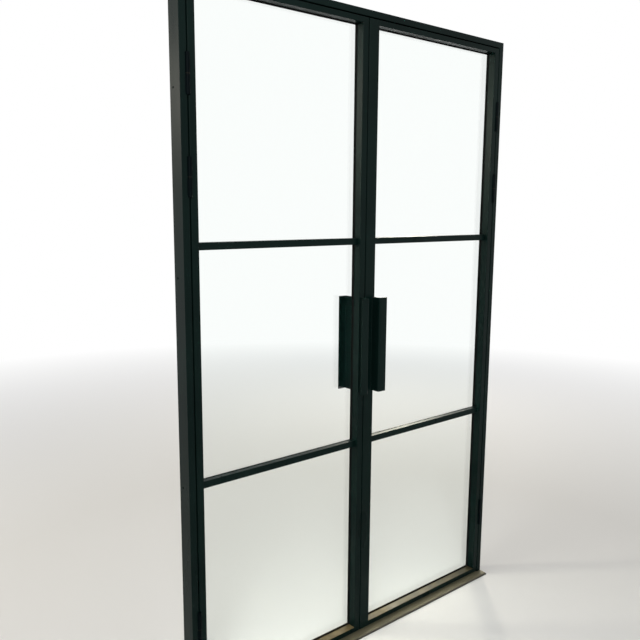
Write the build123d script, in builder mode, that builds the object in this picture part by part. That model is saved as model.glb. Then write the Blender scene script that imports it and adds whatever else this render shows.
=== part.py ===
from build123d import *
import os

# A two-leaf glazed fire door in its steel frame. X runs along the width, Y from the side that the leaves
# open to towards the far side, and Z up. The origin is on the floor, in the middle of the width and of
# the leaves' thickness. Sizes are in millimetres.

os.makedirs("parts", exist_ok=True)

# Whole door
overall_width = 1345.0
overall_height = 2100.0
leaf_thickness = 44.0
edge_gap = 4.0
meeting_gap = 4.0
floor_gap = 4.0
arris_radius = 1.5

# Fixed frame
jamb_face = 21.0
head_face = 20.0
stop_space = 2.0
stop_thickness = 8.0
stop_lap = 8.0

# Threshold strip
threshold_height = 6.0
threshold_nose = 32.0
threshold_slope = 3.0

# Leaf frames. They meet left of the door's middle, while their panes lie evenly about it.
meeting_line = -10.0
hinge_stile = 22.0
panes_apart = 68.0
top_rail = 17.0
bottom_rail = 18.0

# Glazing
pane_setback = 30.0
pane_thickness = 8.0
gasket_thickness = 2.0
glazing_cover = 10.0
pane_clearance = 3.0
block_length = 80.0
bar_setback = 14.5
bar_height = 21.0
back_bar_thickness = 3.0
bar_count = 2

# Seals and fire strips
seal_width = 7.0
seal_clearance = 0.2
strip_width = 15.0
strip_depth = 2.0
bottom_seal_width = 10.0

# Pull handles
handle_line = 25.0
handle_length = 318.0
handle_bottom = 884.0
handle_projection = 38.0
handle_flange = 32.0
handle_thickness = 4.0
handle_bend = 3.0

# Barrel hinges
top_hinge_drop = 243.0
upper_hinge_spacing = 263.0
bottom_hinge_rise = 260.0
barrel_radius = 6.0
knuckle_length = 52.0
washer_thickness = 2.0
pin_radius = 3.5
pin_grip = 30.0
pin_clearance = 0.05
pin_end_clearance = 1.0
washer_clearance = 0.1
notch_clearance = 0.6
notch_end_clearance = 1.0

# Wall fixing holes, two pairs in each jamb
fixing_radius = 3.25
fixing_setback = 14.5
jamb_fixing_rise = 200.0
jamb_fixing_drop = 300.0
jamb_fixing_spacing = 500.0

# Places across the thickness
leaf_front = -leaf_thickness / 2
leaf_back = leaf_thickness / 2
stop_front = leaf_back + stop_space
frame_back = stop_front + stop_thickness
pane_front = leaf_front + pane_setback
pane_back = pane_front + pane_thickness
lip_back = pane_front - gasket_thickness
bead_front = pane_back + gasket_thickness
bar_front = leaf_front + bar_setback
bar_back = pane_back + back_bar_thickness

# Places along the width, measured out from the middle of the door
half_width = overall_width / 2
jamb_inner = half_width - jamb_face
leaf_outer = jamb_inner - edge_gap
sight_outer = leaf_outer - hinge_stile
sight_inner = panes_apart / 2
sight_width = sight_outer - sight_inner
sight_x = (sight_outer + sight_inner) / 2

# Places up the height
head_under = overall_height - head_face
leaf_top = head_under - edge_gap
leaf_bottom = threshold_height + floor_gap
leaf_height = leaf_top - leaf_bottom
leaf_z = (leaf_top + leaf_bottom) / 2
sight_top = leaf_top - top_rail
sight_bottom = leaf_bottom + bottom_rail
sight_height = sight_top - sight_bottom
sight_z = (sight_top + sight_bottom) / 2
bar_pitch = (sight_height + bar_height) / (bar_count + 1)
bar_heights = [sight_bottom + bar_pitch * (i + 1) - bar_height / 2 for i in range(bar_count)]

# Hinge axis, heights and stack: the frame's knuckle below, a washer, and the leaf's knuckle above
pin_x = jamb_inner - edge_gap / 2
pin_y = leaf_front
top_hinge = leaf_top - top_hinge_drop
hinge_heights = (top_hinge, top_hinge - upper_hinge_spacing, leaf_bottom + bottom_hinge_rise)
frame_knuckle = -washer_thickness / 2 - knuckle_length
leaf_knuckle = washer_thickness / 2 + washer_clearance
jamb_fixing_heights = (jamb_fixing_rise, jamb_fixing_rise + jamb_fixing_spacing,
                       overall_height - jamb_fixing_drop - jamb_fixing_spacing, overall_height - jamb_fixing_drop)

sides = {"left": -1, "right": 1}
low = (Align.CENTER, Align.CENTER, Align.MIN)


def upright(y):
    """Plane across the door at depth y. What is drawn on it is extruded towards the front."""
    return Plane.XZ.offset(-y)


def light_outline(side, cover, mode=Mode.ADD):
    """Rectangle of one leaf's visible glass, grown by the cover on every side."""
    with Locations((side * sight_x, sight_z)):
        Rectangle(sight_width + 2 * cover, sight_height + 2 * cover, mode=mode)


def doorway_outline(width, top):
    """Cut an opening from the threshold up to the given height."""
    with Locations((0, threshold_height)):
        Rectangle(width, top - threshold_height, align=(Align.CENTER, Align.MIN), mode=Mode.SUBTRACT)


def hinge_cylinders(side, radius, start, length, mode=Mode.ADD):
    """One upright cylinder at each hinge of one side, starting at a height above its middle."""
    with Locations(*[(side * pin_x, pin_y, z + start) for z in hinge_heights]):
        Cylinder(radius, length, align=low, mode=mode)


# Fixed frame: two jambs and a head, with the stop behind the leaves
with BuildPart() as frame:
    with BuildSketch(upright(stop_front)):
        with Locations((0, threshold_height)):
            Rectangle(overall_width, overall_height - threshold_height, align=(Align.CENTER, Align.MIN))
        doorway_outline(2 * jamb_inner, head_under)
    extrude(amount=stop_front - leaf_front)
    with BuildSketch(upright(frame_back)):
        with Locations((0, threshold_height)):
            Rectangle(overall_width, overall_height - threshold_height, align=(Align.CENTER, Align.MIN))
        doorway_outline(2 * (leaf_outer - stop_lap), leaf_top - stop_lap)
    extrude(amount=stop_thickness)
    front_edges = frame.faces().sort_by(Axis.Y)[0].edges()
    fillet(front_edges.filter_by_position(Axis.Z, threshold_height, overall_height, (False, True)), arris_radius)
    for side in sides.values():
        notch_top = leaf_knuckle + knuckle_length + notch_end_clearance
        hinge_cylinders(side, barrel_radius, frame_knuckle, knuckle_length, Mode.SUBTRACT)
        hinge_cylinders(side, barrel_radius + notch_clearance, -washer_thickness / 2,
                        notch_top + washer_thickness / 2, Mode.SUBTRACT)
        with Locations((side * (jamb_inner + strip_depth / 2), 0, leaf_z)):
            Box(strip_depth, strip_width, leaf_height, mode=Mode.SUBTRACT)
        for z in jamb_fixing_heights:
            with Locations(Plane((side * jamb_inner, fixing_setback, z), z_dir=(-side, 0, 0))):
                Hole(fixing_radius, jamb_face)
    with Locations((0, 0, head_under)):
        Box(2 * leaf_outer, strip_width, strip_depth, align=low, mode=Mode.SUBTRACT)
frame.part.label = "frame"
export_step(frame.part, "parts/frame.step")

# Threshold strip under the jambs, with a sloping front edge
threshold_front = leaf_front - threshold_nose
with BuildPart() as threshold:
    with BuildSketch(Plane.YZ.offset(-half_width)):
        with BuildLine():
            Polyline((threshold_front, 0), (frame_back, 0), (frame_back, threshold_height),
                     (threshold_front + threshold_height, threshold_height),
                     (threshold_front, threshold_slope), close=True)
        make_face()
    extrude(amount=overall_width)
threshold.part.label = "threshold"
export_step(threshold.part, "parts/threshold.step")

# Seal and fire strip of the head
seal_depth = stop_space - seal_clearance
with BuildPart() as head_seal:
    with Locations((0, stop_front - seal_depth / 2, leaf_top - stop_lap)):
        Box(2 * (leaf_outer - stop_lap), seal_depth, seal_width, align=low)
head_seal.part.label = "frame_seal_head"
export_step(head_seal.part, "parts/frame_seal_head.step")

with BuildPart() as head_strip:
    with Locations((0, 0, head_under)):
        Box(2 * leaf_outer, strip_width, strip_depth, align=low)
head_strip.part.label = "frame_fire_strip_head"
export_step(head_strip.part, "parts/frame_fire_strip_head.step")

for hand, side in sides.items():
    # Seal on the stop of one jamb, up to the seal of the head
    with BuildPart() as jamb_seal:
        seal_top = leaf_top - stop_lap + seal_width
        with Locations((side * (leaf_outer - stop_lap + seal_width / 2), stop_front - seal_depth / 2, leaf_bottom)):
            Box(seal_width, seal_depth, seal_top - leaf_bottom, align=low)
    jamb_seal.part.label = f"frame_seal_{hand}"
    export_step(jamb_seal.part, f"parts/frame_seal_{hand}.step")

    # Fire strip let into the reveal of one jamb
    with BuildPart() as jamb_strip:
        with Locations((side * (jamb_inner + strip_depth / 2), 0, leaf_z)):
            Box(strip_depth, strip_width, leaf_height)
    jamb_strip.part.label = f"frame_fire_strip_{hand}"
    export_step(jamb_strip.part, f"parts/frame_fire_strip_{hand}.step")

    # Frame knuckles, each holding its pin tightly
    with BuildPart() as frame_knuckles:
        hinge_cylinders(side, barrel_radius, frame_knuckle, knuckle_length)
        hinge_cylinders(side, pin_radius, -washer_thickness / 2 - pin_grip, pin_grip, Mode.SUBTRACT)
    frame_knuckles.part.label = f"hinge_{hand}_frame_knuckles"
    export_step(frame_knuckles.part, f"parts/hinge_{hand}_frame_knuckles.step")

    with BuildPart() as pins:
        hinge_cylinders(side, pin_radius, -washer_thickness / 2 - pin_grip, 2 * pin_grip + washer_thickness)
    pins.part.label = f"hinge_{hand}_pins"
    export_step(pins.part, f"parts/hinge_{hand}_pins.step")

    with BuildPart() as washers:
        hinge_cylinders(side, barrel_radius, -washer_thickness / 2, washer_thickness)
        hinge_cylinders(side, pin_radius, -washer_thickness / 2, washer_thickness, Mode.SUBTRACT)
    washers.part.label = f"hinge_{hand}_washers"
    export_step(washers.part, f"parts/hinge_{hand}_washers.step")

    # Leaf knuckles, each turning on its pin
    with BuildPart() as leaf_knuckles:
        hinge_cylinders(side, barrel_radius, leaf_knuckle, knuckle_length)
        hinge_cylinders(side, pin_radius + pin_clearance, leaf_knuckle, pin_grip + pin_end_clearance, Mode.SUBTRACT)
    leaf_knuckles.part.label = f"hinge_{hand}_leaf_knuckles"
    export_step(leaf_knuckles.part, f"parts/hinge_{hand}_leaf_knuckles.step")

    # Meeting edge, width and middle of this leaf
    leaf_inner = meeting_gap / 2 + side * meeting_line
    leaf_width = leaf_outer - leaf_inner
    leaf_x = (leaf_outer + leaf_inner) / 2

    # Leaf frame: stiles and rails with a fixed lip in front of the glass and an open rebate behind it
    with BuildPart() as leaf:
        with BuildSketch(upright(leaf_back)):
            with Locations((side * leaf_x, leaf_z)):
                Rectangle(leaf_width, leaf_height)
            light_outline(side, glazing_cover, Mode.SUBTRACT)
        extrude(amount=leaf_thickness)
        with BuildSketch(upright(lip_back)):
            light_outline(side, glazing_cover)
            light_outline(side, 0, Mode.SUBTRACT)
        extrude(amount=lip_back - leaf_front)
        fillet(leaf.faces().sort_by(Axis.Y)[0].edges(), arris_radius)
        chamfer(leaf.faces().sort_by(Axis.Y)[-1].outer_wire().edges(), arris_radius)
        notch_bottom = frame_knuckle - notch_end_clearance
        hinge_cylinders(side, barrel_radius, leaf_knuckle, knuckle_length, Mode.SUBTRACT)
        hinge_cylinders(side, barrel_radius + notch_clearance, notch_bottom,
                        leaf_knuckle - notch_bottom, Mode.SUBTRACT)
        with Locations((side * (leaf_inner + strip_depth / 2), 0, leaf_z)):
            Box(strip_depth, strip_width, leaf_height, mode=Mode.SUBTRACT)
    leaf.part.label = f"leaf_{hand}_frame"
    export_step(leaf.part, f"parts/leaf_{hand}_frame.step")

    # Fire strip let into the meeting edge
    with BuildPart() as meeting_strip:
        with Locations((side * (leaf_inner + strip_depth / 2), 0, leaf_z)):
            Box(strip_depth, strip_width, leaf_height)
    meeting_strip.part.label = f"leaf_{hand}_fire_strip"
    export_step(meeting_strip.part, f"parts/leaf_{hand}_fire_strip.step")

    # Seal below the bottom rail, just clear of the threshold
    with BuildPart() as bottom_seal:
        with Locations((side * leaf_x, 0, threshold_height + seal_clearance)):
            Box(leaf_width, bottom_seal_width, floor_gap - seal_clearance, align=low)
    bottom_seal.part.label = f"leaf_{hand}_bottom_seal"
    export_step(bottom_seal.part, f"parts/leaf_{hand}_bottom_seal.step")

    # Pane, its two gaskets and the blocks that it stands on
    with BuildPart() as pane:
        with BuildSketch(upright(pane_back)):
            light_outline(side, glazing_cover - pane_clearance)
        extrude(amount=pane_thickness)
    pane.part.label = f"leaf_{hand}_pane"
    export_step(pane.part, f"parts/leaf_{hand}_pane.step")

    for face, gasket_back in (("front", pane_front), ("back", bead_front)):
        with BuildPart() as gasket:
            with BuildSketch(upright(gasket_back)):
                light_outline(side, glazing_cover)
                light_outline(side, 0, Mode.SUBTRACT)
            extrude(amount=gasket_thickness)
        gasket.part.label = f"leaf_{hand}_gasket_{face}"
        export_step(gasket.part, f"parts/leaf_{hand}_gasket_{face}.step")

    with BuildPart() as blocks:
        with Locations((side * sight_x, (pane_front + pane_back) / 2, sight_bottom - glazing_cover)):
            with GridLocations(sight_width / 2, 0, 2, 1):
                Box(block_length, pane_thickness, pane_clearance, align=low)
    blocks.part.label = f"leaf_{hand}_setting_blocks"
    export_step(blocks.part, f"parts/leaf_{hand}_setting_blocks.step")

    # Glazing bead that fills the rebate behind the glass
    with BuildPart() as bead:
        with BuildSketch(upright(leaf_back)):
            light_outline(side, glazing_cover)
            light_outline(side, 0, Mode.SUBTRACT)
        extrude(amount=leaf_back - bead_front)
        fillet(bead.faces().sort_by(Axis.Y)[-1].inner_wires().edges(), arris_radius)
    bead.part.label = f"leaf_{hand}_bead"
    export_step(bead.part, f"parts/leaf_{hand}_bead.step")

    # Bars bonded to both faces of the pane, which divide it into equal lights
    for face, near, far in (("front", bar_front, pane_front), ("back", pane_back, bar_back)):
        for number, z in enumerate(bar_heights, 1):
            with BuildPart() as bar:
                with Locations((side * sight_x, (near + far) / 2, z)):
                    Box(sight_width, far - near, bar_height)
            bar.part.label = f"leaf_{hand}_bar_{face}_{number}"
            export_step(bar.part, f"parts/leaf_{hand}_bar_{face}_{number}.step")

    # Pull handles: a plate that stands on the meeting stile, folded over towards the glass
    for face, outward in (("front", -1), ("back", 1)):
        foot = outward * leaf_thickness / 2
        fold = foot + outward * (handle_projection - handle_thickness / 2)
        with BuildPart() as handle:
            with BuildSketch(Plane.XY.offset(handle_bottom)):
                with BuildLine():
                    FilletPolyline((side * handle_line, foot), (side * handle_line, fold),
                                   (side * (handle_line - handle_thickness / 2 + handle_flange), fold),
                                   radius=handle_bend + handle_thickness / 2)
                trace(line_width=handle_thickness)
            extrude(amount=handle_length)
        handle.part.label = f"leaf_{hand}_handle_{face}"
        export_step(handle.part, f"parts/leaf_{hand}_handle_{face}.step")
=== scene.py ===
import math

import bmesh
import bpy
from mathutils import Matrix, Vector


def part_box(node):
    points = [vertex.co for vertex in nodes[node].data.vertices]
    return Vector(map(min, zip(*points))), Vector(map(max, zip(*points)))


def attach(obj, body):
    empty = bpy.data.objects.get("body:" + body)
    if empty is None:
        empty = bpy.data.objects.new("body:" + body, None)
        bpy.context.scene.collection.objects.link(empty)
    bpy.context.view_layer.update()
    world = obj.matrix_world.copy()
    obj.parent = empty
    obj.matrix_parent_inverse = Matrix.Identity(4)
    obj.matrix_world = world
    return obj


# A two-leaf glazed fire door: materials for its solids, and the small pieces that they leave plain.
# Lengths are in metres. X runs along the width, Y away from the side that the leaves open to, Z up.

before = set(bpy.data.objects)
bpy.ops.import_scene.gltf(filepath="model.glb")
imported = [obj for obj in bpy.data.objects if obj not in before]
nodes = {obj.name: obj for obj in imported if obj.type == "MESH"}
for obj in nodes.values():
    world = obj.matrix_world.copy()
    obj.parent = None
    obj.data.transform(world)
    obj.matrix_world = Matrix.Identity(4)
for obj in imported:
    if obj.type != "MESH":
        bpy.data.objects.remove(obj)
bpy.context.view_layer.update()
HANDS = {"left": -1, "right": 1}
QUARTER_TURN = math.pi / 2

# Colours, linear
PAINT_DARK = (0.0016, 0.0072, 0.0062)
PAINT_LIGHT = (0.0032, 0.0112, 0.0094)
# Warm tan on low ledges: part dust, part a painted reflection of a bright room
DUST_AND_REFLECTION_COLOUR = (0.155, 0.117, 0.055)
# Hinge knuckles: the door's black paint made darker, as painted shade
HINGE_SHADED_COLOUR = (0.0006, 0.0020, 0.0026)
RUBBER_COLOUR = (0.006, 0.006, 0.006)
GRAPHITE_COLOUR = (0.022, 0.022, 0.024)
GLASS_COLOUR = (0.955, 0.985, 0.970)
THRESHOLD_DARK = (0.13, 0.118, 0.070)
THRESHOLD_LIGHT = (0.21, 0.192, 0.120)
# Painted shade along the threshold's front edge
THRESHOLD_PAINTED_SHADE = (0.035, 0.032, 0.022)
STEEL_COLOUR = (0.52, 0.53, 0.54)
BRASS_COLOUR = (0.018, 0.015, 0.010)
SCREW_COLOUR = (0.045, 0.047, 0.05)
PLASTIC_COLOUR = (0.03, 0.03, 0.032)
FLOOR_COLOUR = (0.80, 0.80, 0.79)
WHITE = (1, 1, 1)

# Noise patterns. The scale is per metre.
CLOUDS = {"scale": 3.5, "detail": 4.0}
RUBBED_PATCHES = {"scale": 14.0, "stretch": (1, 1, 0.25), "detail": 5.0}
ORANGE_PEEL = {"scale": 260.0, "detail": 2.0}
FINE_PEEL = {"scale": 1500.0, "detail": 1.0}
LEDGE_PATCHES = {"scale": 25.0, "detail": 5.0}
WIPING_MARKS = {"scale": 5.0, "stretch": (1, 1, 0.5), "detail": 6.0, "roughness": 0.6}
TURNED_RINGS = {"scale": 40.0, "stretch": (1, 1, 60), "detail": 2.0}
BRUSHING = {"scale": 120.0, "stretch": (0.02, 1, 1), "detail": 3.0}
WALKED_PATCHES = {"scale": 6.0, "stretch": (1, 3, 1), "detail": 6.0, "roughness": 0.65}
GRAIN_DETAIL = 4.0

# The part of a pattern's range that a change takes place in
SHARP_SPAN = (0.35, 0.65)
SOFT_SPAN = (0.3, 0.7)
WIDE_SPAN = (0.2, 0.8)
WIPED_SPAN = (0.5, 0.8)

# Bumps: strength and height
PEEL_BUMP = (0.12, 0.0006)
FINE_PEEL_BUMP = (0.10, 0.0002)
GRAIN_BUMP = (0.15, 0.0003)
RING_BUMP = (0.1, 0.0002)
BRUSHED_BUMP = (0.2, 0.0003)

# Powder coat: its gloss, and how much smoother and rougher it gets in places
PAINT_SPECULAR = 0.06
PAINT_SMOOTHER = 0.05
PAINT_ROUGHER = 0.08

# Dust and a painted reflection on low ledges: full up to one height and gone from another, on faces
# that look up. It covers them in patches, and thins out between two distances from the middle of the door.
LEDGE_HEIGHTS = (0.035, 0.060)
LEDGE_FACING = (0.5, 0.9)
LEDGE_COVER = (0.6, 1.0)
LEDGE_REACH = (0.15, 0.60)
LEDGE_FAR_COVER = 0.35

# Other surfaces
GLASS_IOR = 1.5
WIPED_ROUGHNESS = (0.0, 0.03)
MATTE_SPECULAR = 0.3
MATTE_LIGHTER = 1.7
MATTE_VARIATION = 0.08
HINGE_SPECULAR = 0.03
RUBBER_SPECULAR = 0.04
METAL_DARKER = 0.75
METAL_VARIATION = 0.06
BRUSHED_SHARE = 0.35
WALKED_SHARE = 0.65
THRESHOLD_ROUGHNESS = (0.62, 0.42)
THRESHOLD_METALLIC = 0.35
# Painted shade on the threshold: full up to one distance behind its front, gone at another
THRESHOLD_SHADE_SPAN = (0.002, 0.008)

# Places of the colour sockets of a mix node
MIX_FIRST = 6
MIX_SECOND = 7
MIX_RESULT = 2


def new_material(name):
    """A new node material, its node tree and its principled shader."""
    made = bpy.data.materials.new(name)
    made.use_nodes = True
    tree = made.node_tree
    return made, tree, tree.nodes["Principled BSDF"]


def add(tree, kind, **settings):
    """A new node of a kind, with its settings and the values of its inputs."""
    node = tree.nodes.new(kind)
    for key, value in settings.items():
        if key in node.bl_rna.properties:
            setattr(node, key, value)
        else:
            node.inputs[key].default_value = value
    return node


def axes_of(tree, output):
    """The X, Y and Z of the object's own coordinates, or of the way that its surface faces."""
    place = add(tree, "ShaderNodeTexCoord")
    axes = add(tree, "ShaderNodeSeparateXYZ")
    tree.links.new(place.outputs[output], axes.inputs["Vector"])
    return axes.outputs


def noise(tree, scale, detail, stretch=(1, 1, 1), roughness=0.5):
    """Noise in the object's own metres, stretched along the axes. Its value runs from 0 to 1."""
    place = add(tree, "ShaderNodeTexCoord")
    mapping = add(tree, "ShaderNodeMapping", Scale=stretch)
    texture = add(tree, "ShaderNodeTexNoise", Scale=scale, Detail=detail, Roughness=roughness)
    tree.links.new(place.outputs["Object"], mapping.inputs["Vector"])
    tree.links.new(mapping.outputs["Vector"], texture.inputs["Vector"])
    return texture.outputs["Fac"]


def spread(tree, value, span, result=(0, 1)):
    """The result's range, run through as the value goes through a span, and held at its ends."""
    node = add(tree, "ShaderNodeMapRange")
    tree.links.new(value, node.inputs["Value"])
    for key, number in zip(("From Min", "From Max", "To Min", "To Max"), (*span, *result)):
        node.inputs[key].default_value = number
    return node.outputs["Result"]


def calculated(tree, operation, *values):
    """The result of an operation on one value or more."""
    node = add(tree, "ShaderNodeMath", operation=operation)
    for socket, value in zip(node.inputs, values):
        tree.links.new(value, socket)
    return node.outputs["Value"]


def two_colours(tree, factor, dark, light):
    """A colour between two fixed ones, by the factor."""
    ramp = add(tree, "ShaderNodeValToRGB")
    ramp.color_ramp.elements[0].color = (*dark, 1)
    ramp.color_ramp.elements[1].color = (*light, 1)
    tree.links.new(factor, ramp.inputs["Fac"])
    return ramp.outputs["Color"]


def blended(tree, factor, colour, other):
    """A colour that turns into a fixed one by the factor."""
    node = add(tree, "ShaderNodeMix", data_type="RGBA")
    tree.links.new(factor, node.inputs["Factor"])
    tree.links.new(colour, node.inputs[MIX_FIRST])
    node.inputs[MIX_SECOND].default_value = (*other, 1)
    return node.outputs[MIX_RESULT]


def bump(tree, shader, height, strength, distance, under=None):
    """Raise the shader's surface by a height, over another bump if one is given."""
    node = add(tree, "ShaderNodeBump", Strength=strength, Distance=distance)
    tree.links.new(height, node.inputs["Height"])
    if under:
        tree.links.new(under, node.inputs["Normal"])
    tree.links.new(node.outputs["Normal"], shader.inputs["Normal"])
    return node.outputs["Normal"]


def show_either(tree, factor, one, other):
    """Make the surface show one shader, or the other where the factor is 1."""
    mix = add(tree, "ShaderNodeMixShader")
    for value, socket in zip((factor, one, other), mix.inputs):
        tree.links.new(value, socket)
    tree.links.new(mix.outputs["Shader"], tree.nodes["Material Output"].inputs["Surface"])


def low_dust_and_reflection(tree):
    """How much dust and painted reflection lies somewhere: on upward faces near the floor, most near the
    middle, in patches.
    """
    position, facing = axes_of(tree, "Object"), axes_of(tree, "Normal")
    low = spread(tree, position["Z"], LEDGE_HEIGHTS, (1, 0))
    up = spread(tree, facing["Z"], LEDGE_FACING)
    toward_middle = spread(tree, calculated(tree, "ABSOLUTE", position["X"]), LEDGE_REACH, (1, LEDGE_FAR_COVER))
    patches = spread(tree, noise(tree, **LEDGE_PATCHES), SHARP_SPAN, LEDGE_COVER)
    ledges = calculated(tree, "MULTIPLY", low, up)
    return calculated(tree, "MULTIPLY", ledges, calculated(tree, "MULTIPLY", toward_middle, patches))


def powder_coat(name, roughness):
    """Satin black powder coat: a fine orange peel, faint clouds in its tone, rubbed patches, and low dust
    with a painted reflection.
    """
    made, tree, shader = new_material(name)
    tone = two_colours(tree, spread(tree, noise(tree, **CLOUDS), SHARP_SPAN), PAINT_DARK, PAINT_LIGHT)
    # Low upward ledges turn warm tan: dust, and a painted reflection
    tree.links.new(blended(tree, low_dust_and_reflection(tree), tone, DUST_AND_REFLECTION_COLOUR), shader.inputs["Base Color"])
    rubbed = spread(tree, noise(tree, **RUBBED_PATCHES), SOFT_SPAN,
                    (roughness - PAINT_SMOOTHER, roughness + PAINT_ROUGHER))
    tree.links.new(rubbed, shader.inputs["Roughness"])
    shader.inputs["Specular IOR Level"].default_value = PAINT_SPECULAR
    soft = bump(tree, shader, noise(tree, **ORANGE_PEEL), *PEEL_BUMP)
    bump(tree, shader, noise(tree, **FINE_PEEL), *FINE_PEEL_BUMP, under=soft)
    return made


def clear_glass():
    """Clear fire glass with a green cast and faint wiping marks, which casts no dark shadow."""
    made, tree, shader = new_material("clear_glass")
    shader.inputs["Base Color"].default_value = (*GLASS_COLOUR, 1)
    shader.inputs["Transmission Weight"].default_value = 1.0
    shader.inputs["IOR"].default_value = GLASS_IOR
    wiped = spread(tree, noise(tree, **WIPING_MARKS), WIPED_SPAN, WIPED_ROUGHNESS)
    tree.links.new(wiped, shader.inputs["Roughness"])
    path = add(tree, "ShaderNodeLightPath")
    clear = add(tree, "ShaderNodeBsdfTransparent", Color=(*GLASS_COLOUR, 1))
    show_either(tree, path.outputs["Is Shadow Ray"], shader.outputs["BSDF"], clear.outputs["BSDF"])
    return made


def matte(name, colour, roughness, grain, specular=MATTE_SPECULAR):
    """A matte material with a fine grain, such as rubber or plastic."""
    made, tree, shader = new_material(name)
    fleck = noise(tree, grain, GRAIN_DETAIL)
    lighter = tuple(MATTE_LIGHTER * part for part in colour)
    tree.links.new(two_colours(tree, fleck, colour, lighter), shader.inputs["Base Color"])
    uneven = spread(tree, fleck, WIDE_SPAN, (roughness - MATTE_VARIATION, roughness + MATTE_VARIATION))
    tree.links.new(uneven, shader.inputs["Roughness"])
    shader.inputs["Specular IOR Level"].default_value = specular
    bump(tree, shader, fleck, *GRAIN_BUMP)
    return made


def bare_metal(name, colour, roughness):
    """Turned bare metal with fine rings along the height."""
    made, tree, shader = new_material(name)
    rings = noise(tree, **TURNED_RINGS)
    darker = tuple(METAL_DARKER * part for part in colour)
    tree.links.new(two_colours(tree, rings, darker, colour), shader.inputs["Base Color"])
    uneven = spread(tree, rings, WIDE_SPAN, (roughness - METAL_VARIATION, roughness + METAL_VARIATION))
    tree.links.new(uneven, shader.inputs["Roughness"])
    shader.inputs["Metallic"].default_value = 1.0
    bump(tree, shader, rings, *RING_BUMP)
    return made


def worn_threshold():
    """Dull metal strip, brushed along its length, with darker walked-in patches and painted shade along its
    front edge.
    """
    made, tree, shader = new_material("threshold_metal")
    brushed = noise(tree, **BRUSHING)
    walked = noise(tree, **WALKED_PATCHES)
    blend = add(tree, "ShaderNodeMath", operation="MULTIPLY_ADD")
    value, share, added = blend.inputs
    tree.links.new(brushed, value)
    share.default_value = BRUSHED_SHARE
    tree.links.new(spread(tree, walked, SOFT_SPAN, (0, WALKED_SHARE)), added)
    metal = two_colours(tree, blend.outputs["Value"], THRESHOLD_DARK, THRESHOLD_LIGHT)
    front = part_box("threshold")[0].y
    # Painted shade: the colour darkens towards the threshold's front edge
    edge = spread(tree, axes_of(tree, "Object")["Y"], [front + y for y in THRESHOLD_SHADE_SPAN], (1, 0))
    tree.links.new(blended(tree, edge, metal, THRESHOLD_PAINTED_SHADE), shader.inputs["Base Color"])
    tree.links.new(spread(tree, walked, SOFT_SPAN, THRESHOLD_ROUGHNESS), shader.inputs["Roughness"])
    shader.inputs["Metallic"].default_value = THRESHOLD_METALLIC
    bump(tree, shader, brushed, *BRUSHED_BUMP)
    return made


PAINT = powder_coat("black_powder_coat", roughness=0.30)
HANDLE_PAINT = powder_coat("handle_powder_coat", roughness=0.33)
GLASS = clear_glass()
RUBBER = matte("black_rubber", RUBBER_COLOUR, roughness=0.7, grain=700.0, specular=RUBBER_SPECULAR)
GRAPHITE = matte("graphite_strip", GRAPHITE_COLOUR, roughness=0.8, grain=1200.0)
PLASTIC = matte("setting_block", PLASTIC_COLOUR, roughness=0.6, grain=500.0)
# Hinge knuckles and their welds: black paint darker than the door's, as painted shade
HINGE_SHADED_PAINT = matte("hinge_shaded_paint", HINGE_SHADED_COLOUR, roughness=0.45, grain=900.0, specular=HINGE_SPECULAR)
STEEL = bare_metal("bright_steel", STEEL_COLOUR, roughness=0.3)
BRASS = bare_metal("darkened_brass", BRASS_COLOUR, roughness=0.5)
SCREW_STEEL = bare_metal("blackened_screw_steel", SCREW_COLOUR, roughness=0.4)
THRESHOLD = worn_threshold()

# A word in a node's name says what it is made of. The first match counts.
MATERIALS = (("pane", GLASS), ("gasket", RUBBER), ("seal", RUBBER), ("fire_strip", GRAPHITE),
             ("setting_blocks", PLASTIC), ("pins", STEEL), ("washers", BRASS), ("knuckles", HINGE_SHADED_PAINT),
             ("threshold", THRESHOLD), ("handle", HANDLE_PAINT), ("", PAINT))


def dress_solids():
    """Give every solid its material."""
    for name, node in nodes.items():
        chosen = next(material for word, material in MATERIALS if word in name)
        for slot in node.material_slots:
            slot.material = chosen


def finished(mesh, name, smooth):
    """The mesh as data, with its faces turned outwards."""
    bmesh.ops.recalc_face_normals(mesh, faces=mesh.faces)
    data = bpy.data.meshes.new(name)
    mesh.to_mesh(data)
    mesh.free()
    for polygon in data.polygons:
        polygon.use_smooth = smooth
    return data


def piece(name, mesh, body, material, smooth=False):
    """Make a mesh a piece of the door, with a material, that rides on a body."""
    made = bpy.data.objects.new(name, finished(mesh, name, smooth))
    bpy.context.scene.collection.objects.link(made)
    made.data.materials.append(material)
    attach(made, body)


# Weld runs at the foot of each handle plate and beside each hinge knuckle
HANDLE_PLATE = 0.004
WELD_LEG = 0.0022
WELD_RIPPLE = 0.0004
WELD_PITCH = 0.0030
WELD_STEPS_PER_RIPPLE = 3
WELD_ARC = 5
WELD_START = 0.35
KNUCKLES_APART = 0.1
KNUCKLE_WELD_MARGIN = 0.004
KNUCKLE_WELD_SINK = 0.0006
HEIGHT_DIGITS = 5


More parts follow.
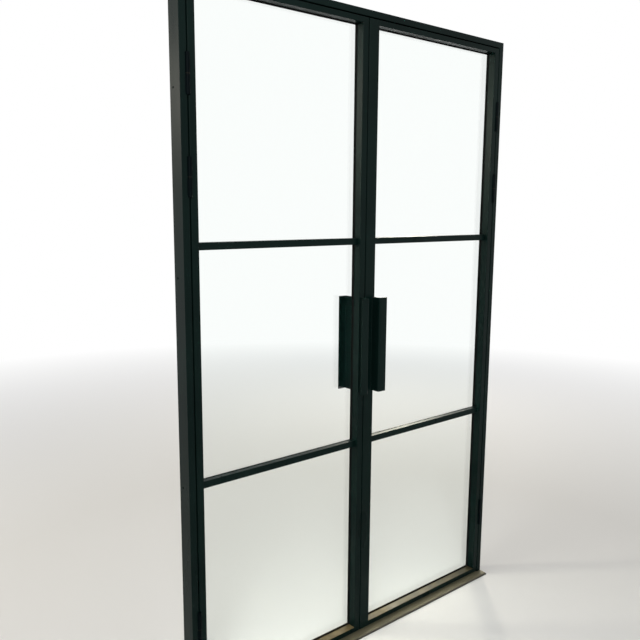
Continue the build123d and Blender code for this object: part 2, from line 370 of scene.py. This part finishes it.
def add_weld(mesh, corner_x, away, face_y, outward, low_z, high_z):
    """Add a rippled fillet weld in the upright corner between a surface and a face."""
    count = int((high_z - low_z) / WELD_PITCH * WELD_STEPS_PER_RIPPLE)
    rows = []
    for i in range(count + 1):
        z = low_z + (high_z - low_z) * i / count
        end = min(i, count - i) / (2 * WELD_STEPS_PER_RIPPLE)
        phase = abs(math.sin(math.pi * i / WELD_STEPS_PER_RIPPLE))
        leg = (WELD_LEG + WELD_RIPPLE * phase) * min(1, WELD_START + end)
        row = []
        for j in range(WELD_ARC + 1):
            angle = QUARTER_TURN * j / WELD_ARC
            x = corner_x + away * leg * math.cos(angle)
            row.append(mesh.verts.new((x, face_y + outward * leg * math.sin(angle), z)))
        row.append(mesh.verts.new((corner_x, face_y, z)))
        rows.append(row)
    for below, above in zip(rows, rows[1:]):
        for j in range(len(below)):
            mesh.faces.new((below[j - 1], below[j], above[j], above[j - 1]))
    mesh.faces.new(rows[0])
    mesh.faces.new(rows[-1])


def handle_welds():
    """Two weld runs at each handle, one on each side of its plate."""
    for hand, side in HANDS.items():
        leaf_low, leaf_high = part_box(f"leaf_{hand}_frame")
        for face, outward, face_y in (("front", -1, leaf_low.y), ("back", 1, leaf_high.y)):
            low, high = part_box(f"leaf_{hand}_handle_{face}")
            inner = min(abs(low.x), abs(high.x))
            for label, distance, away in (("outer", inner + HANDLE_PLATE, side), ("inner", inner, -side)):
                mesh = bmesh.new()
                add_weld(mesh, side * distance, away, face_y, outward, low.z, high.z)
                piece(f"leaf_{hand}_handle_{face}_weld_{label}", mesh, f"{hand}_leaf", HANDLE_PAINT,
                      smooth=True)


def knuckle_spans(node):
    """The lowest and highest z of each separate knuckle of a node."""
    heights = sorted({round(vertex.co.z, HEIGHT_DIGITS) for vertex in nodes[node].data.vertices})
    spans = [[heights[0], heights[0]]]
    for z in heights[1:]:
        if z - spans[-1][1] > KNUCKLES_APART:
            spans.append([z, z])
        spans[-1][1] = z
    return spans


def hinge_welds():
    """A weld run beside each knuckle: the frame's on the jamb and the leaf's on its stile."""
    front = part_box("frame")[0].y
    for hand, side in HANDS.items():
        for part, body, away in (("frame", "fixed_frame", side), ("leaf", f"{hand}_leaf", -side)):
            node = f"hinge_{hand}_{part}_knuckles"
            low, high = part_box(node)
            edge = high.x if away > 0 else low.x
            mesh = bmesh.new()
            for bottom, top in knuckle_spans(node):
                add_weld(mesh, edge - away * KNUCKLE_WELD_SINK, away, front, -1,
                         bottom + KNUCKLE_WELD_MARGIN, top - KNUCKLE_WELD_MARGIN)
            piece(f"hinge_{hand}_{part}_welds", mesh, body, HINGE_SHADED_PAINT, smooth=True)


# Rubber blade seals in the meeting joint, one on each leaf's edge. They lap, one behind the other.
# A point of the profile says how far out of the edge it is, and how far to one side of the middle.
BLADE_PROFILE = ((0.0, -0.0030), (0.0006, -0.0030), (0.0010, -0.0022), (0.0010, -0.0005),
                 (0.0016, 0.0003), (0.0021, 0.0011), (0.0021, 0.0016), (0.0014, 0.0012),
                 (0.0010, 0.0008), (0.0010, 0.0022), (0.0006, 0.0030), (0.0, 0.0030))
# How far each seal's middle is behind the leaf's front, and which way its blade leans
BLADE_DEPTHS = {"left": (0.005, -1), "right": (0.011, 1)}
BLADE_END_MARGIN = 0.002


def meeting_seals():
    """A blade seal along the meeting edge of each leaf, behind the front arris."""
    for hand, side in HANDS.items():
        low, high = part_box(f"leaf_{hand}_frame")
        edge = high.x if side < 0 else low.x
        depth, lean = BLADE_DEPTHS[hand]
        outline = [(edge - side * out, low.y + depth + lean * beside) for out, beside in BLADE_PROFILE]
        mesh = bmesh.new()
        foot, top = ([mesh.verts.new((x, y, z)) for x, y in outline]
                     for z in (low.z + BLADE_END_MARGIN, high.z - BLADE_END_MARGIN))
        for i in range(len(outline)):
            mesh.faces.new((foot[i - 1], foot[i], top[i], top[i - 1]))
        mesh.faces.new(foot)
        mesh.faces.new(top)
        piece(f"leaf_{hand}_meeting_seal", mesh, f"{hand}_leaf", RUBBER)


# How far a glazing bead's face reaches from its edge to the clear part of the pane
BEAD_WIDTH = 0.010

# Rubber lips of the gaskets, which lie on the pane along the steel's reveals, between the bars.
# A point of the profile says how far over the pane it is, and how far off it.
LIP_PROFILE = ((0.0, 0.0), (0.0025, 0.0), (0.0025, 0.0006), (0.0016, 0.0016), (0.0, 0.0019))


def lip_runs(hand, face):
    """The runs of one pane's lip: points in (x, z), each with its way inwards. Corners are mitred."""
    low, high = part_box(f"leaf_{hand}_bead")
    lower, upper = sorted((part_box(f"leaf_{hand}_bar_{face}_{i}") for i in (1, 2)), key=lambda box: box[0].z)
    left, right = lower[0].x, lower[1].x
    bottom, top = low.z + BEAD_WIDTH, high.z - BEAD_WIDTH
    runs = [[(x, lower[1].z, way, 0), (x, upper[0].z, way, 0)] for x, way in ((left, 1), (right, -1))]
    for bar_z, rail_z, way_z in ((lower[0].z, bottom, 1), (upper[1].z, top, -1)):
        runs.append([(left, bar_z, 1, 0), (left, rail_z, 1, way_z), (right, rail_z, -1, way_z),
                     (right, bar_z, -1, 0)])
    return runs


def gasket_lips():
    """The lip of the gasket on each face of each pane."""
    for hand in HANDS:
        low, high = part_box(f"leaf_{hand}_pane")
        for face, glass_y, out in (("front", low.y, -1), ("back", high.y, 1)):
            mesh = bmesh.new()
            for run in lip_runs(hand, face):
                rings = [[mesh.verts.new((x + way_x * over, glass_y + out * off, z + way_z * over))
                          for over, off in LIP_PROFILE] for x, z, way_x, way_z in run]
                for one, other in zip(rings, rings[1:]):
                    for i in range(len(LIP_PROFILE)):
                        mesh.faces.new((one[i - 1], one[i], other[i], other[i - 1]))
                mesh.faces.new(rings[0])
                mesh.faces.new(rings[-1])
            piece(f"leaf_{hand}_gasket_lip_{face}", mesh, f"{hand}_leaf", RUBBER)


# Pan-head screws with a cross recess, in a row round each glazing bead
SCREW_SPACING = 0.25
SCREW_MARGIN = 0.060
SCREW_PROFILE = ((0.0030, -0.0002), (0.0030, 0.0006), (0.0027, 0.0012), (0.0020, 0.0016))
SCREW_POINTS = 20
SCREW_TURN = 0.9
CROSS_ARMS = 4
CROSS_REACH = 0.0015
CROSS_HALF_WIDTH = 0.00035
CROSS_DEPTH = 0.0010
CROSS_TAPER = 0.6
HANDLE_CLEARANCE = 0.012


def cross_outline(taper):
    """The twelve corners of the cross, anticlockwise, drawn in by the taper."""
    reach, half = CROSS_REACH * taper, CROSS_HALF_WIDTH * taper
    corners = []
    for arm in range(CROSS_ARMS):
        cos, sin = math.cos(arm * QUARTER_TURN), math.sin(arm * QUARTER_TURN)
        for x, y in ((reach, -half), (reach, half), (half, half)):
            corners.append((x * cos - y * sin, x * sin + y * cos))
    return corners


def circle_outline(radius):
    """Points evenly round a circle, anticlockwise."""
    turn = 2 * math.pi / SCREW_POINTS
    return [(radius * math.cos(i * turn), radius * math.sin(i * turn)) for i in range(SCREW_POINTS)]


def add_screw_head(mesh, place):
    """Add one head to the mesh. The place puts its foot at z = 0, with +z out of the surface."""
    def ring(points, z):
        return [mesh.verts.new(place @ Vector((x, y, z))) for x, y in points]

    def wall(one, other):
        for i in range(len(one)):
            mesh.faces.new((one[i - 1], one[i], other[i], other[i - 1]))

    rings = [ring(circle_outline(radius), z) for radius, z in SCREW_PROFILE]
    mesh.faces.new(rings[0])
    for below, above in zip(rings, rings[1:]):
        wall(below, above)
    top = SCREW_PROFILE[-1][1]
    mouth = ring(cross_outline(1), top)
    floor = ring(cross_outline(CROSS_TAPER), top - CROSS_DEPTH)
    wall(mouth, floor)
    mesh.faces.new(floor)
    rims = [mesh.edges.get((rim[i - 1], rim[i])) for rim in (rings[-1], mouth) for i in range(len(rim))]
    bmesh.ops.triangle_fill(mesh, edges=rims, use_beauty=True)


def spaced(low, high):
    """Evenly spaced places between two ends, at about the screws' spacing, with a margin at both."""
    span = high - low - 2 * SCREW_MARGIN
    count = round(span / SCREW_SPACING)
    return [low + SCREW_MARGIN + span * i / count for i in range(count + 1)]


def bead_screw_places(hand):
    """Where (x, z) the screws of one bead are. None is behind the pull handle."""
    low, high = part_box(f"leaf_{hand}_bead")
    half = BEAD_WIDTH / 2
    places = [(x, z) for x in (low.x + half, high.x - half) for z in spaced(low.z, high.z)]
    places += [(x, z) for z in (low.z + half, high.z - half) for x in spaced(low.x, high.x)]
    grip_low, grip_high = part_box(f"leaf_{hand}_handle_back")
    reach = HANDLE_CLEARANCE
    return [(x, z) for x, z in places if not (grip_low.x - reach < x < grip_high.x + reach
                                              and grip_low.z - reach < z < grip_high.z + reach)]


def bead_screws():
    """The screws that hold each glazing bead, on its back face."""
    for hand in HANDS:
        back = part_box(f"leaf_{hand}_bead")[1].y
        mesh = bmesh.new()
        for index, (x, z) in enumerate(bead_screw_places(hand)):
            out = Matrix.Translation((x, back, z)) @ Matrix.Rotation(-QUARTER_TURN, 4, "X")
            add_screw_head(mesh, out @ Matrix.Rotation(index * SCREW_TURN, 4, "Z"))
        piece(f"leaf_{hand}_bead_screws", mesh, f"{hand}_leaf", SCREW_STEEL)


dress_solids()
handle_welds()
hinge_welds()
meeting_seals()
gasket_lips()
bead_screws()

# Floor, which turns into the white background away from the door
FLOOR_SIZE = 60.0
FLOOR_FADE = (1.6, 5.5)
FLOOR_ROUGHNESS = 0.85
FLOOR_SPECULAR = 0.1

# World and lamps: a lamp's name, place, diameter, power in watts and colour
WORLD_LIGHT = 0.38
WARM = (1.0, 0.92, 0.78)
LAMPS = (("key", (-2.8, -3.0, 2.8), 1.8, 85.0, WHITE), ("fill", (-0.2, -3.8, 2.4), 2.6, 12.0, WHITE),
         ("back_left", (-2.6, 2.2, 2.2), 0.5, 32.0, WARM),
         ("back_right", (2.9, 2.6, 2.2), 0.5, 45.0, WARM))
LAMP_TARGET = Vector((0, 0, 1.0))

# Camera of the photograph, solved from the door's straight edges
CAMERA_PLACE = Vector((-1.5830, -1.6999, 1.4897))
CAMERA_RIGHT = Vector((0.77253, -0.63494, 0.00667))
CAMERA_UP = Vector((0.09436, 0.12520, 0.98763))
CAMERA_LENS_MM = 39.47
SENSOR_MM = 36.0


def seen_rays(tree):
    """1 for rays that show the background: from the camera, off a shiny surface or through glass."""
    path = add(tree, "ShaderNodeLightPath")
    mirrored, through = path.outputs["Is Glossy Ray"], path.outputs["Is Transmission Ray"]
    indirect = calculated(tree, "MAXIMUM", mirrored, through)
    return calculated(tree, "MAXIMUM", path.outputs["Is Camera Ray"], indirect)


def studio_floor():
    """A pale floor that keeps the shadow near the door and fades to white further out."""
    made, tree, shader = new_material("studio_floor")
    shader.inputs["Base Color"].default_value = (*FLOOR_COLOUR, 1)
    shader.inputs["Roughness"].default_value = FLOOR_ROUGHNESS
    shader.inputs["Specular IOR Level"].default_value = FLOOR_SPECULAR
    place = add(tree, "ShaderNodeTexCoord")
    distance = add(tree, "ShaderNodeVectorMath", operation="LENGTH")
    tree.links.new(place.outputs["Object"], distance.inputs[0])
    fade = spread(tree, distance.outputs["Value"], FLOOR_FADE)
    white = add(tree, "ShaderNodeEmission", Color=(*WHITE, 1), Strength=1.0)
    show_either(tree, calculated(tree, "MULTIPLY", fade, seen_rays(tree)), shader.outputs["BSDF"],
                white.outputs["Emission"])
    data = bpy.data.meshes.new("studio_floor")
    half = FLOOR_SIZE / 2
    corners = [(-half, -half, 0), (half, -half, 0), (half, half, 0), (-half, half, 0)]
    data.from_pydata(corners, [], [(0, 1, 2, 3)])
    ground = bpy.data.objects.new("studio_floor", data)
    ground.data.materials.append(made)
    bpy.context.scene.collection.objects.link(ground)


def studio_world():
    """White background, and a weaker even light on the door."""
    world = bpy.data.worlds.new("studio")
    world.use_nodes = True
    tree = world.node_tree
    light = tree.nodes["Background"]
    light.inputs["Color"].default_value = (*WHITE, 1)
    strength = spread(tree, seen_rays(tree), (0, 1), (WORLD_LIGHT, 1.0))
    tree.links.new(strength, light.inputs["Strength"])
    bpy.context.scene.world = world


def studio_lamps():
    """Large soft lamps that face the door."""
    for name, place, diameter, power, colour in LAMPS:
        data = bpy.data.lights.new(name, "AREA")
        data.shape = "DISK"
        data.size = diameter
        data.energy = power
        data.color = colour
        lamp = bpy.data.objects.new(name, data)
        lamp.visible_transmission = False
        lamp.location = place
        lamp.rotation_euler = (LAMP_TARGET - Vector(place)).to_track_quat("-Z", "Y").to_euler()
        bpy.context.scene.collection.objects.link(lamp)


def photo_camera():
    """The camera of the photograph."""
    data = bpy.data.cameras.new("photo_camera")
    data.sensor_width = SENSOR_MM
    data.lens = CAMERA_LENS_MM
    camera = bpy.data.objects.new("photo_camera", data)
    back = CAMERA_RIGHT.cross(CAMERA_UP)
    turn = Matrix((CAMERA_RIGHT, CAMERA_UP, back)).transposed()
    camera.matrix_world = Matrix.Translation(CAMERA_PLACE) @ turn.to_4x4()
    bpy.context.scene.collection.objects.link(camera)
    bpy.context.scene.camera = camera


studio_floor()
studio_world()
studio_lamps()
photo_camera()
bpy.context.scene.view_settings.view_transform = "Standard"
